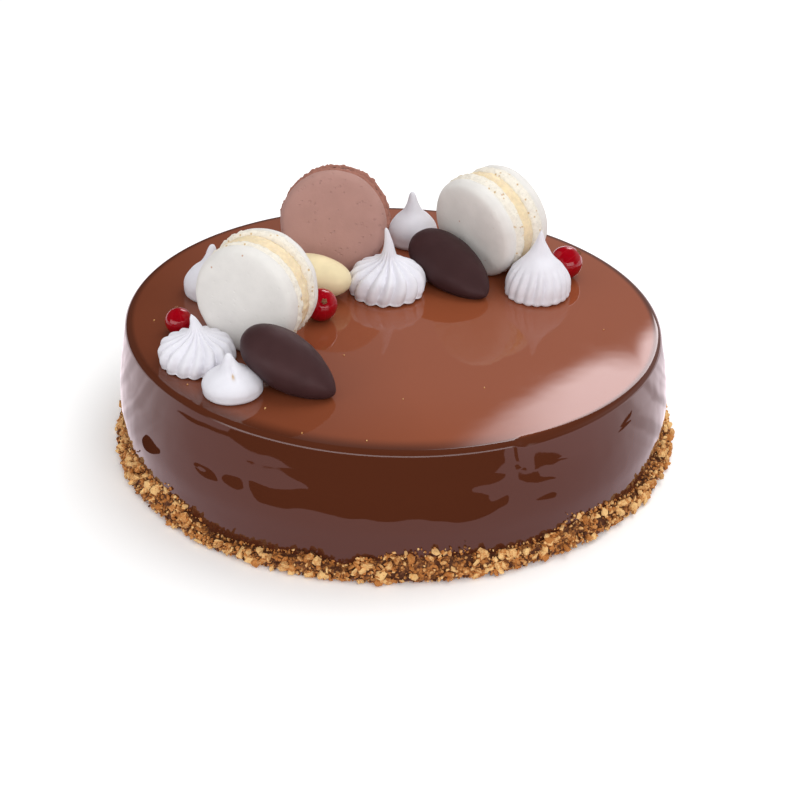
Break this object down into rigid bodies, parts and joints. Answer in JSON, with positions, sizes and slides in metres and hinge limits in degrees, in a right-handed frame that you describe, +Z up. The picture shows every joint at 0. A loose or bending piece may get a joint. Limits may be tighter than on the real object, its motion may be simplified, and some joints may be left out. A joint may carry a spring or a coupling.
{
  "type": "cherry mousse cake",
  "caption": "Whole round mousse cake in a smooth milk chocolate mirror glaze, with biscuit crumbs banked round its foot, topped with macarons, meringues, chocolate almonds and red berries.",
  "frame": {"origin": "middle of the flat base of the cake, on the surface it stands on", "axes": "+Z is up, -Y is the front of the cake, where its open glaze faces the viewer, and +X is to the viewer's right; the toppings stand in an arc at the left and the back"},
  "size_m": [0.2064, 0.2086, 0.0864],
  "materials": {
    "glaze": "mirror-bright milk chocolate glaze; the crumbs fused to its foot are tan biscuit",
    "cream_biscuit": "smooth satin sheen with a rough ruffled foot",
    "vanilla_filling": "soft pale yellow cream",
    "cocoa_biscuit": "matt pinkish brown, finely pitted, with a ruffled foot",
    "ganache_filling": "satin chocolate cream",
    "meringue": "dry, smooth and chalky white",
    "dark_chocolate": "satin dark chocolate coating",
    "white_chocolate": "satin ivory coating",
    "berry": "wet glossy red skin with a dry brown flower end"
  },
  "bodies": {
    "root": {"cake": "glaze", "macaron_left_front": "cream_biscuit", "macaron_left_filling": "vanilla_filling", "macaron_left_back": "cream_biscuit", "macaron_back_front": "cocoa_biscuit", "macaron_back_filling": "ganache_filling", "macaron_back_back": "cocoa_biscuit", "macaron_right_front": "cream_biscuit", "macaron_right_filling": "vanilla_filling", "macaron_right_back": "cream_biscuit", "star_left": "meringue", "star_middle": "meringue", "star_right": "meringue", "kiss_front": "meringue", "kiss_left": "meringue", "kiss_back": "meringue", "almond_left": "dark_chocolate", "almond_middle": "dark_chocolate", "almond_white": "white_chocolate", "berry_left": "berry", "berry_middle": "berry", "berry_right": "berry"}
  },
  "joints": []
}
